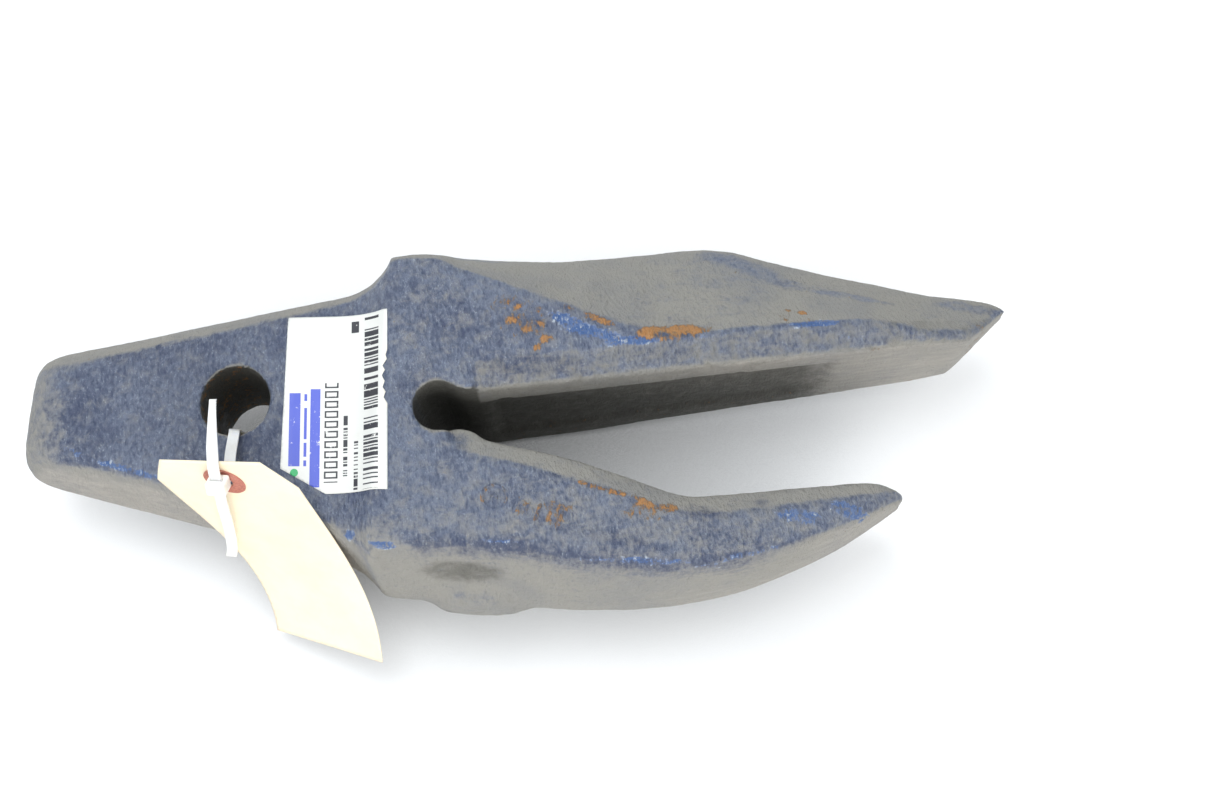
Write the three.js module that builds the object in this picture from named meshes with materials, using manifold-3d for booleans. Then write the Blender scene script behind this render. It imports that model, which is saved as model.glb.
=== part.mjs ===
// Weld-on tooth adapter for an excavator bucket, with its parts label, hang tag and cable tie.
// Millimetres, +Z up. The adapter lies on one side face: Z = 0 is that face, X runs along the
// bucket-lip slot from the nose to the strap ends, and Y points to the long strap.
import * as THREE from "three";
import { mergeVertices } from "three/addons/utils/BufferGeometryUtils.js";
import Module from "manifold-3d";

const wasm = await Module();
wasm.setup();

// ---- Driving dimensions ----
const bodyWidth = 100;                // over the two side faces, along Z
const midZ = bodyWidth / 2;           // height of the casting's plane of symmetry
const seatY = 25;                     // seat face of the long strap
const padY = -33;                     // seat face of the short strap
const bevelStep = 6;                  // weld bevel, measured along Z
const boreDiameter = 31.6;            // retaining-pin bore
const bore = { x: -75, y: 39.1 };
const throat = { x: 16, y: 20, radius: 11 };
const noseAngle = THREE.MathUtils.degToRad(9);
const noseOrigin = { x: -9.4, y: 24.5 };
const noseLength = 167.5;
const noseTaper = 0.231;              // thickness lost on each half, per mm of length
const noseSideTaper = 0.11;           // width lost on each half, per mm of length
const label = { height: 82, thickness: 0.3, gap: 0.35 };
const tag = { width: 60.3, length: 120.7, thickness: 0.4, hole: 6.4, eyelet: 13 };
const patch = { outer: 16, thickness: 0.4, gap: 0.35 };
const strap = { width: 5, thickness: 1.3 };
const head = { width: 8.6, height: 6.4, depth: 7.6 };
const cutterDepth = 70;               // half length of the tools that cut right through

// ---- Solids ----
function solidOf(geometry) {
  const bare = geometry.index ? geometry.toNonIndexed() : geometry.clone();
  for (const name of ["normal", "uv"]) bare.deleteAttribute(name);
  const merged = mergeVertices(bare, 1e-5);
  return new wasm.Manifold(new wasm.Mesh({
    numProp: 3,
    vertProperties: new Float32Array(merged.attributes.position.array),
    triVerts: new Uint32Array(merged.index.array),
  }));
}

function meshOf(solid, name, material) {
  const raw = solid.getMesh();
  const geometry = new THREE.BufferGeometry();
  geometry.setAttribute("position", new THREE.BufferAttribute(raw.vertProperties, 3));
  geometry.setIndex(new THREE.BufferAttribute(raw.triVerts, 1));
  geometry.computeVertexNormals();
  const mesh = new THREE.Mesh(geometry, material);
  mesh.name = name;
  return mesh;
}

function signedVolume(points, faces) {
  let volume = 0;
  for (const [a, b, c] of faces) {
    volume += points[a].dot(new THREE.Vector3().crossVectors(points[b], points[c]));
  }
  return volume;
}

function geometryOf(points, faces) {
  const outward = signedVolume(points, faces) > 0;
  const order = outward ? faces : faces.map(([a, b, c]) => [a, c, b]);
  const geometry = new THREE.BufferGeometry().setFromPoints(points);
  geometry.setIndex(order.flat());
  return geometry;
}

// Closed solid through rings of equal point count, capped at both ends about the middle.
function loft(rings) {
  const count = rings[0].length;
  const points = rings.flat();
  const faces = [];
  for (let ring = 0; ring + 1 < rings.length; ring += 1) {
    for (let i = 0; i < count; i += 1) {
      const j = (i + 1) % count;
      const a = ring * count;
      const b = a + count;
      faces.push([a + i, a + j, b + j], [a + i, b + j, b + i]);
    }
  }
  for (const [start, flip] of [[0, true], [(rings.length - 1) * count, false]]) {
    const middle = new THREE.Vector3();
    for (let i = 0; i < count; i += 1) middle.add(points[start + i]);
    points.push(middle.divideScalar(count));
    const hub = points.length - 1;
    for (let i = 0; i < count; i += 1) {
      const j = (i + 1) % count;
      faces.push(flip ? [hub, start + j, start + i] : [hub, start + i, start + j]);
    }
  }
  return geometryOf(points, faces);
}

// Polygon with its corners eased: each corner is [across, z, size of the easing].
function easedPolygon(corners, steps = 3) {
  const count = corners.length;
  const outline = [];
  corners.forEach(([a, z, size], i) => {
    const here = new THREE.Vector2(a, z);
    const before = new THREE.Vector2(...corners[(i + count - 1) % count].slice(0, 2)).sub(here);
    const after = new THREE.Vector2(...corners[(i + 1) % count].slice(0, 2)).sub(here);
    const cut = Math.min(size, 0.45 * before.length(), 0.45 * after.length());
    const start = here.clone().add(before.setLength(cut));
    const end = here.clone().add(after.setLength(cut));
    const curve = new THREE.QuadraticBezierCurve(start, here, end);
    outline.push(...curve.getPoints(steps));
  });
  return outline;
}

// The casting is symmetric about its middle plane, so a section is given by its upper half.
function mirroredSection(half) {
  const other = half.map(([a, z, size]) => [a, -z, size]).reverse();
  return easedPolygon([...half, ...other]);
}

function prism(outline, depth = cutterDepth) {
  const shape = new THREE.Shape(outline.map(([x, y]) => new THREE.Vector2(x, y)));
  const geometry = new THREE.ExtrudeGeometry(shape, { depth: 2 * depth, bevelEnabled: false });
  return solidOf(geometry.translate(0, 0, -depth));
}

// ---- Casting: nose ----
function nosePoint(u, v, z) {
  const cos = Math.cos(noseAngle);
  const sin = Math.sin(noseAngle);
  return new THREE.Vector3(noseOrigin.x - u * cos + v * sin, noseOrigin.y + u * sin + v * cos, z);
}

// Stations along the nose from the shoulder: [distance, thickness added, width added].
const shoulderRamp = [[-2, 9.5, 9.4], [1, 8, 8.4], [5, 4.8, 5.2], [10, 2.2, 2.5], [16, 0.6, 0.8]];
const noseEnd = [[22, 0, 0], [80, 0, 0], [147, 0, 0], [155, -0.2, -1.4], [160.5, -0.9, -4],
  [164.5, -2.7, -8], [noseLength, -6.5, -13.5]];

function noseHalfWidth(u) {
  const stations = [...shoulderRamp, ...noseEnd];
  const next = stations.findIndex(([distance]) => distance >= u);
  const [u0, , added0] = stations[Math.max(next - 1, 0)];
  const [u1, , added1] = stations[Math.max(next, 1)];
  const mix = (u - u0) / (u1 - u0);
  return 40 - noseSideTaper * u + added0 + (added1 - added0) * mix;
}

function noseSolid() {
  const rings = [...shoulderRamp, ...noseEnd].map(([u, thick, wide]) => {
    const edge = 58 - noseTaper * u + thick;
    const crown = 66 - noseTaper * u + thick;
    const side = 40 - noseSideTaper * u + wide;
    const half = [[-crown, 7, 5], [-edge, side, 9], [edge, side, 9], [crown + 2.4, 7, 5]];
    return mirroredSection(half).map((p) => nosePoint(u, p.x, p.y));
  });
  return solidOf(loft(rings));
}

// ---- Casting: body and straps ----
// Where the straps join the body their sections lean over to the shoulder, square to the nose.
function strapRing(x, lean, half) {
  return mirroredSection(half).map((p) => new THREE.Vector3(x + lean * (p.x - 26), p.x, p.y));
}

// Long strap: [x, lean, ridge height, top of the side face, top of the bevel, half width, bevelled]
const longStrap = [
  [-9, 0.158, 105, 91.5, 38, 50, 0], [5, 0.12, 107, 91, 38, 50, 0], [20, 0.06, 106, 89, 38, 50, 0],
  [31, 0, 104, 83.5, 38, 50, 0], [33.5, 0, 103.5, 82.5, 38, 50, 1], [45, 0, 101.5, 76.5, 38, 50, 1],
  [60, 0, 99.5, 68.5, 38, 50, 1], [80, 0, 97, 57.5, 37.5, 49, 1], [100, 0, 96, 47, 37, 47, 1],
  [118, 0, 95.5, 40, 37, 45.3, 1], [135, 0, 95.2, 39, 37, 43.8, 1], [148, 0, 94.2, 39, 37, 42.7, 1],
  [160, 0, 91.5, 39, 37, 41.7, 1], [185, 0, 81, 39, 37, 39.6, 1], [208, 0, 72, 39, 37, 37, 1],
  [225, 0, 66, 35, 33, 34, 0.8], [241, 0, 60, 30.5, 28.5, 30, 0.4], [252, 0, 56, 30, 28, 27, 0.4],
  [270, 0, 51.5, 30, 28, 22, 0.4], [277, 0, 49.5, 30, 28, 19.5, 0.4], [282, 0, 46.5, 30, 28, 17.5, 0.4],
  [285, 0, 42.5, 30, 28, 15, 0.4]];

function longStrapSolid() {
  const foot = 14;
  const rings = longStrap.map(([x, lean, ridge, flank, bevel, wide, bevelled]) => {
    const step = bevelStep * bevelled * (bevel - foot) / (bevel - seatY);
    const half = [[foot, wide - step, 1], [bevel, wide, 2.5], [flank, wide, 4], [ridge, 8, 6]];
    return strapRing(x, lean, half);
  });
  return solidOf(loft(rings));
}

// Short strap: [x, lean, lowest point, foot of the side face, foot of the bevel, half width,
// inner face]; the first rows have no bevel.
const shortStrap = [
  [-9, 0.158, -51, -39, 0, 50, null], [5, 0.12, -55, -40.5, 0, 50, null],
  [20, 0.06, -58.5, -42.8, -2, 50, null],
  [22.5, 0.04, -59.3, -43.4, -2.5, 50, 9], [32, 0, -61.5, -45.5, -6, 50, 5],
  [46, 0, -65, -49, -11, 50, -1],
  [65, 0, -68.5, -55, -19, 49.2, -7], [89, 0, -71.5, -60.5, -29, 47.6, -18],
  [110, 0, -72.5, -63.5, -39, 45.5, -28.5], [125, 0, -72, -64.5, -43.5, 43.6, -33],
  [141, 0, -70, -64, -43.5, 41.2, padY], [156, 0, -66.5, -61.5, -43, 38.5, padY],
  [176, 0, -60.5, -57, -42, 34, padY], [189, 0, -56, -53, -41, 30.5, padY],
  [203, 0, -49.5, -48, -40, 25, -32], [213, 0, -44.5, -43.5, -39, 19.5, -33],
  [219, 0, -41.5, -41, -38.5, 14, -36]];

function shortStrapSolid() {
  const crest = 18;
  const rings = shortStrap.map(([x, lean, low, foot, bevel, wide, inner]) => {
    const step = inner === null ? 0 : bevelStep * (crest - bevel) / (inner - bevel);
    const top = Math.max(wide - step, 3);
    const half = [[low, 8, 6], [foot, wide, 4], [bevel, wide, 2.5], [crest, top, 1]];
    return strapRing(x, lean, half);
  });
  return solidOf(loft(rings));
}

function slotCutter() {
  const outline = [[300, seatY], [30, seatY], [26, 26.2]];
  const from = THREE.MathUtils.degToRad(42);
  const to = THREE.MathUtils.degToRad(282);
  const steps = 16;
  for (let i = 0; i <= steps; i += 1) {
    const angle = from + (to - from) * i / steps;
    const across = throat.radius * Math.cos(angle);
    const up = throat.radius * Math.sin(angle);
    outline.push([throat.x + across, throat.y + up]);
  }
  outline.push([23, 10.3], [27, 9.5], [30.5, 7.4], [34, 3.6], [46, -1], [60, -5.8], [75, -11.5],
    [100, -24], [113, -30.6], [120, -32.4], [128, padY], [198, padY],
    [206, -33.8], [213, -35.8], [219, -39], [300, -46]);
  return prism(outline);
}

// Shallow pocket between the two lands of the long strap's seat.
function seatPocket() {
  const depth = 2.2;
  const ends = [[38, 29], [196, 20.5]];
  const rings = ends.map(([x, wide]) => {
    const half = [[seatY - 5, wide], [seatY + depth, wide - 1.5]];
    const other = half.map(([y, z]) => [y, -z]).reverse();
    return [...half, ...other].map(([y, z]) => new THREE.Vector3(x, y, z));
  });
  return solidOf(loft(rings));
}

function feederPad() {
  const pad = new THREE.CylinderGeometry(0.8, 1.3, 16, 28).scale(23, 1, 17);
  pad.rotateX(Math.PI).rotateZ(-0.16).translate(23, -57, 0);
  return solidOf(pad);
}

function boreCutter() {
  const radius = boreDiameter / 2;
  const drill = new THREE.CylinderGeometry(radius, radius, 2 * cutterDepth, 56).rotateX(Math.PI / 2);
  return solidOf(drill.translate(bore.x, bore.y, 0));
}

function castingSolid() {
  const endCut = prism([
    [256, seatY - 1], [270, 33.5], [281, 41.5], [285, 44.5], [300, 52], [300, 0], [256, 0]]);
  return noseSolid().add(longStrapSolid()).add(shortStrapSolid()).add(feederPad())
    .subtract(slotCutter()).subtract(seatPocket()).subtract(endCut).subtract(boreCutter());
}

// ---- Label on the nose's upper face, running up the ramp to the shoulder ----
function labelSolid() {
  const low = -7.5;
  const high = 46;
  const stops = [low, 0.2, 5, 7.5, 10, 13, 16, 19, 22, 30, 38, high];
  const bottom = -39;
  const top = bottom + label.height;
  const rings = stops.map((u) => {
    const z = (u < 1 ? 50 : noseHalfWidth(u)) + label.gap;
    return [[bottom, z], [top, z], [top, z + label.thickness], [bottom, z + label.thickness]].map(
      ([v, height]) => nosePoint(u, v, height));
  });
  const cornerAt = (u, v) => {
    const p = nosePoint(u, v, 0);
    return [p.x, p.y];
  };
  const corner = prism([
    cornerAt(high, -26.5), cornerAt(18, bottom - 2), cornerAt(high, bottom - 2)]);
  const nearSide = prism([
    cornerAt(-1.2, top + 1), cornerAt(-6.9, bottom - 1), cornerAt(-20, bottom - 1), cornerAt(-20, top + 1)]);
  const farSide = prism([
    cornerAt(45.6, top + 1), cornerAt(55, top + 1), cornerAt(55, bottom - 1), cornerAt(42.8, bottom - 1)]);
  const tear = prism([
    cornerAt(-8, 22), cornerAt(-1.6, 19), cornerAt(0.4, 16), cornerAt(-1.2, 12), cornerAt(0, 5),
    cornerAt(-2.6, 1), cornerAt(-9, -1)]);
  return solidOf(loft(rings)).subtract(corner).subtract(nearSide).subtract(farSide).subtract(tear);
}

// ---- Hang tag: a stiff card that bends over the lower edge of the nose ----
const tagLeft = new THREE.CubicBezierCurve3(new THREE.Vector3(-113, 11, 55),
  new THREE.Vector3(-101, -6.5, 22), new THREE.Vector3(-74, -22, -10), new THREE.Vector3(-77, -54, -38));
const tagRight = new THREE.CubicBezierCurve3(new THREE.Vector3(-49, -2.5, 67),
  new THREE.Vector3(-40, -25, 35), new THREE.Vector3(-22, -47, 10), new THREE.Vector3(-26, -79, -15));

// Point of the card: across from 0 at its left edge to 1, along from 0 at the eyelet end to 1.
function tagPoint(across, along, lift = 0) {
  const step = 1e-3;
  const at = (s, t) => new THREE.Vector3().lerpVectors(tagLeft.getPoint(t), tagRight.getPoint(t), s);
  const spot = at(across, along);
  if (lift === 0) return spot;
  const alongWay = at(across, along + step).sub(at(across, along - step));
  const acrossWay = at(across + step, along).sub(at(across - step, along));
  const normal = alongWay.cross(acrossWay).normalize();
  return spot.addScaledVector(normal, lift);
}

// Card outline as rows: each row runs from one long edge to the other, narrower at the eyelet end.
function tagSolid() {
  const clipLength = 15;
  const clipWidth = 9.5;
  const rows = 16;
  const columns = 8;
  const rings = [];
  for (let row = 0; row <= rows; row += 1) {
    const along = row <= 2 ? (row / 2) * clipLength / tag.length
      : (clipLength + (tag.length - clipLength) * (row - 2) / (rows - 2)) / tag.length;
    const inset = Math.max(0, 1 - along * tag.length / clipLength) * clipWidth / tag.width;
    const ring = [];
    for (let i = 0; i <= columns; i += 1) {
      ring.push(tagPoint(inset + (1 - 2 * inset) * i / columns, along, tag.thickness / 2));
    }
    for (let i = columns; i >= 0; i -= 1) {
      ring.push(tagPoint(inset + (1 - 2 * inset) * i / columns, along, -tag.thickness / 2));
    }
    rings.push(ring);
  }
  const punch = new THREE.CylinderGeometry(tag.hole / 2, tag.hole / 2, 12, 24);
  return solidOf(loft(rings)).subtract(alongEyelet(punch));
}

const eyeletAlong = tag.eyelet / tag.length;

// Moves a shape made about the Y axis so that it stands on the card at its eyelet.
function alongEyelet(geometry) {
  const middle = tagPoint(0.5, eyeletAlong);
  const normal = tagPoint(0.5, eyeletAlong, 1).sub(middle);
  const turn = new THREE.Quaternion().setFromUnitVectors(new THREE.Vector3(0, 1, 0), normal);
  geometry.applyQuaternion(turn).translate(middle.x, middle.y, middle.z);
  return solidOf(geometry);
}

function patchSolid(side) {
  const low = tag.thickness / 2 + patch.gap;
  const high = low + patch.thickness;
  const inner = tag.hole / 2;
  const outer = patch.outer / 2;
  const outline = [[inner, low], [outer, low], [outer, high], [inner, high], [inner, low]];
  const ring = new THREE.LatheGeometry(outline.map(([r, y]) => new THREE.Vector2(r, y)), 28);
  return alongEyelet(side > 0 ? ring : ring.rotateX(Math.PI));
}

// ---- Cable tie: round the wall between the pin bore and the nose's lower face ----
const headPlace = new THREE.Vector3(-79, -5.5, 56.5);
const throughEyelet = [4, 0, -4].map((lift) => tagPoint(0.5, eyeletAlong, lift).toArray());
const tieLoop = [
  [-79, -5.5, 56.5], ...throughEyelet, [-75.6, 12, 43.5], [-75, 22, 37.5], [-76, 25.6, 31],
  [-75, 26.2, 15], [-74.4, 26.2, -15], [-74.6, 26, -30], [-75, 23.5, -36], [-76.3, 14, -38],
  [-79.3, 1.5, -37.6], [-82.4, -8.5, -32.5], [-85, -14.5, -22.5], [-87.2, -16.6, -13],
  [-89, -21.4, -6], [-87.4, -24, 2], [-84.6, -22.8, 12], [-81, -17.6, 33], [-79.6, -11, 49],
  [-79, -5.5, 56.5]];
const tieTail = [
  [-79, -5.5, 56.5], [-79.2, -0.6, 61.5], [-78.6, 8, 64.6], [-77.6, 20, 66], [-76.8, 29.5, 66.2]];

// Flat strap swept along a smooth route, its width kept near one direction.
function strapSolid(route, across, widthAt, steps) {
  const points = route.map((p) => new THREE.Vector3(...p));
  const curve = new THREE.CatmullRomCurve3(points, false, "centripetal");
  const rings = [];
  for (let i = 0; i <= steps; i += 1) {
    const along = i / steps;
    const spot = curve.getPointAt(along);
    const tangent = curve.getTangentAt(along);
    const wide = across.clone().addScaledVector(tangent, -across.dot(tangent)).normalize();
    const thick = new THREE.Vector3().crossVectors(tangent, wide);
    const w = widthAt(along) / 2;
    const t = strap.thickness / 2;
    rings.push([[-w, -t], [w, -t], [w, t], [-w, t]].map(
      ([a, b]) => spot.clone().addScaledVector(wide, a).addScaledVector(thick, b)));
  }
  return solidOf(loft(rings));
}

function tieSolid() {
  const across = new THREE.Vector3(0.97, -0.22, 0.1).normalize();
  const loop = strapSolid(tieLoop, across, () => strap.width, 90);
  const tipTaper = (along) => strap.width * (1 - 0.42 * Math.max(0, (along - 0.45) / 0.55));
  const tail = strapSolid(tieTail, across, tipTaper, 12);
  const block = new THREE.BoxGeometry(head.width, head.height, head.depth);
  const slotWay = new THREE.Vector3(-0.1, 0.62, 0.78).projectOnPlane(across).normalize();
  const depthWay = new THREE.Vector3().crossVectors(across, slotWay);
  block.applyMatrix4(new THREE.Matrix4().makeBasis(across, slotWay, depthWay).setPosition(headPlace));
  return loop.add(tail).add(solidOf(block));
}

// ---- Assembly ----
const paint = new THREE.MeshStandardMaterial({ color: 0x4a5670, roughness: 0.6, metalness: 0.3 });
const paper = new THREE.MeshStandardMaterial({ color: 0xf4f5f2, roughness: 0.6, metalness: 0 });
const manila = new THREE.MeshStandardMaterial({ color: 0xf6e0b8, roughness: 0.85, metalness: 0 });
const fibre = new THREE.MeshStandardMaterial({ color: 0xb97462, roughness: 0.85, metalness: 0 });
const nylon = new THREE.MeshStandardMaterial({ color: 0xf3efe4, roughness: 0.4, metalness: 0 });

const part = new THREE.Group();
part.position.z = midZ;
part.add(
  meshOf(castingSolid(), "adapter_casting", paint),
  meshOf(labelSolid(), "part_label", paper),
  meshOf(tagSolid(), "hang_tag", manila),
  meshOf(patchSolid(1), "tag_patch_front", fibre),
  meshOf(patchSolid(-1), "tag_patch_back", fibre),
  meshOf(tieSolid(), "cable_tie", nylon),
);

export default part;
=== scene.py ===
# Two-strap weld-on tooth adapter for an excavator bucket, lying on one side on a pale table,
# with its stock label, its hang tag and the nylon tie that holds the tag. Metres, Z up.
import math

import bmesh
import bpy
import numpy as np
from mathutils import Matrix, Vector, noise
from mathutils.bvhtree import BVHTree
from mathutils.geometry import delaunay_2d_cdt


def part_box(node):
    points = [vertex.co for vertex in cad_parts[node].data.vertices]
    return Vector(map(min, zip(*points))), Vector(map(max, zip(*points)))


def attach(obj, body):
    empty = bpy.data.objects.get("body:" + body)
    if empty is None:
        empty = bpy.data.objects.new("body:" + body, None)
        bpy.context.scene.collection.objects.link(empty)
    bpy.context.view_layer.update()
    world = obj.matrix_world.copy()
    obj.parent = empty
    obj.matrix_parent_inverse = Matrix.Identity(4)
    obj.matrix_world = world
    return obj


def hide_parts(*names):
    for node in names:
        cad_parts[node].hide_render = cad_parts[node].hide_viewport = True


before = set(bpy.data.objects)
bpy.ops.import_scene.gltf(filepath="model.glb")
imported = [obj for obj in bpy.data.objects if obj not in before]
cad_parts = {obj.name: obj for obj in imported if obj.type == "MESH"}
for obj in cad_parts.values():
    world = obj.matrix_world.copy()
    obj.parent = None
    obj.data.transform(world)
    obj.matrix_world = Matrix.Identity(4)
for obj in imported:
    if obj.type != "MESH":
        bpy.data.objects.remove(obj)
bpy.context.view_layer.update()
mm = 0.001
castingLow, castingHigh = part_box("adapter_casting")
midHeight = (castingLow.z + castingHigh.z) / 2        # the casting is symmetric about this height


cameraFacts = {
    "place": (0.0647, -0.1738, 0.7246),
    "tilt": 16.54,            # degrees away from straight down
    "turn": -7.57,            # degrees about the vertical
    "lens": 44.48,
    "sensor": 36.0,
}

studio = {
    "skyColour": (0.965, 0.985, 1.0),
    "skyHigh": 0.70,
    "skyLow": 0.20,
    "tableColour": (0.46, 0.465, 0.47),
    "tableGlow": 0.56,
    "tableSize": 30.0,
    "panels": [               # place, size, power, colour
        ((-0.12, 0.38, 1.6), 0.75, 16.5, (0.95, 0.98, 1.0)),
        ((0.15, -1.7, 0.75), 1.2, 23.0, (1.0, 0.985, 0.96)),
        ((-1.2, 0.5, 0.9), 0.6, 3.0, (0.90, 0.95, 1.0)),
    ],
}


def addObject(name, data):
    made = bpy.data.objects.new(name, data)
    bpy.context.scene.collection.objects.link(made)
    return made


def placeCamera():
    data = bpy.data.cameras.new("tableCamera")
    data.lens = cameraFacts["lens"]
    data.sensor_width = cameraFacts["sensor"]
    data.clip_start = 0.01
    camera = addObject("tableCamera", data)
    camera.location = cameraFacts["place"]
    camera.rotation_euler = (math.radians(cameraFacts["tilt"]), 0.0, math.radians(cameraFacts["turn"]))
    bpy.context.scene.camera = camera


def lightStudio():
    scene = bpy.context.scene
    scene.view_settings.view_transform = "Standard"
    world = bpy.data.worlds.new("softSky")
    world.use_nodes = True
    sky = world.node_tree.nodes["Background"]
    sky.inputs["Color"].default_value = (*studio["skyColour"], 1.0)
    tree = world.node_tree
    heading = tree.nodes.new("ShaderNodeTexCoord")
    split = tree.nodes.new("ShaderNodeSeparateXYZ")
    tree.links.new(heading.outputs["Generated"], split.inputs["Vector"])
    strength = ease(tree, split.outputs["Z"], 0.0, 0.9, studio["skyLow"], studio["skyHigh"])
    tree.links.new(strength, sky.inputs["Strength"])
    scene.world = world
    for number, (place, size, power, colour) in enumerate(studio["panels"]):
        lamp = bpy.data.lights.new(f"softPanel{number}", "AREA")
        lamp.shape = "SQUARE"
        lamp.size = size
        lamp.energy = power
        lamp.color = colour
        panel = addObject(lamp.name, lamp)
        panel.location = place
        aim = Vector((0.05, 0.02, 0.05)) - Vector(place)
        panel.rotation_euler = aim.to_track_quat("-Z", "Y").to_euler()


def shaderTree(name, colour, roughness):
    material = bpy.data.materials.new(name)
    material.use_nodes = True
    material.diffuse_color = (*colour, 1.0)
    tree = material.node_tree
    surface = tree.nodes["Principled BSDF"]

    def give(socket, value):
        plug(tree, value, surface.inputs[socket])

    give("Base Color", colour)
    give("Roughness", roughness)
    return material, tree, give


def plug(tree, value, socket):
    if isinstance(value, bpy.types.NodeSocket):
        tree.links.new(value, socket)
    elif isinstance(value, tuple) and len(value) == 3 and socket.type == "RGBA":
        socket.default_value = (*value, 1.0)
    else:
        socket.default_value = value


def placeOf(tree, stretch=(1.0, 1.0, 1.0)):
    where = tree.nodes.new("ShaderNodeTexCoord")
    turned = tree.nodes.new("ShaderNodeMapping")
    turned.inputs["Scale"].default_value = stretch
    tree.links.new(where.outputs["Object"], turned.inputs["Vector"])
    return turned.outputs["Vector"]


def noiseOf(tree, place, scale, detail=3.0, rough=0.55, warp=0.0):
    node = tree.nodes.new("ShaderNodeTexNoise")
    node.inputs["Scale"].default_value = scale
    node.inputs["Detail"].default_value = detail
    node.inputs["Roughness"].default_value = rough
    node.inputs["Distortion"].default_value = warp
    tree.links.new(place, node.inputs["Vector"])
    return node.outputs["Fac"]


def maths(tree, kind, a, b=0.0):
    node = tree.nodes.new("ShaderNodeMath")
    node.operation = kind
    plug(tree, a, node.inputs[0])
    plug(tree, b, node.inputs[1])
    return node.outputs[0]


def times(tree, first, second):
    return maths(tree, "MULTIPLY", first, second)


def total(tree, first, *others):
    for other in others:
        first = maths(tree, "ADD", first, other)
    return first


def ease(tree, value, low, high, start=0.0, end=1.0):
    node = tree.nodes.new("ShaderNodeMapRange")
    node.interpolation_type = "SMOOTHSTEP"
    plug(tree, value, node.inputs["Value"])
    for name, number in (("From Min", low), ("From Max", high), ("To Min", start), ("To Max", end)):
        plug(tree, number, node.inputs[name])
    return node.outputs["Result"]


def blendColour(tree, share, first, second):
    node = tree.nodes.new("ShaderNodeMix")
    node.data_type = "RGBA"
    plug(tree, share, node.inputs[0])
    plug(tree, first, node.inputs[6])
    plug(tree, second, node.inputs[7])
    return node.outputs[2]


def markOf(tree, name):
    node = tree.nodes.new("ShaderNodeAttribute")
    node.attribute_name = name
    return node.outputs["Fac"]


def bumpOf(tree, height, strength, depth, under=None):
    node = tree.nodes.new("ShaderNodeBump")
    node.inputs["Strength"].default_value = strength
    node.inputs["Distance"].default_value = depth
    tree.links.new(height, node.inputs["Height"])
    if under is not None:
        tree.links.new(under, node.inputs["Normal"])
    return node.outputs["Normal"]


paintFacts = {
    "deep": (0.036, 0.052, 0.110),
    "worn": (0.150, 0.182, 0.255),
    "grey": (0.200, 0.212, 0.235),
    "dust": (0.315, 0.305, 0.275),
    "powder": (0.450, 0.415, 0.375),
    # near black, for real grime and for painted shade in the slot, the bore and the creases
    "grimeAndShade": (0.062, 0.061, 0.050),
    "bright": (0.030, 0.100, 0.290),
    # pale scratches on the chips, and also the colour of the painted glint highlights
    "scratchAndGlint": (0.500, 0.550, 0.600),
    "rust": (0.430, 0.190, 0.050),
    "rustPale": (0.420, 0.270, 0.120),
    "rustEdge": (0.190, 0.120, 0.065),
}


def around(tree, value, size):                # a noise value turned into a push either way
    return times(tree, maths(tree, "SUBTRACT", value, 0.5), size)


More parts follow.
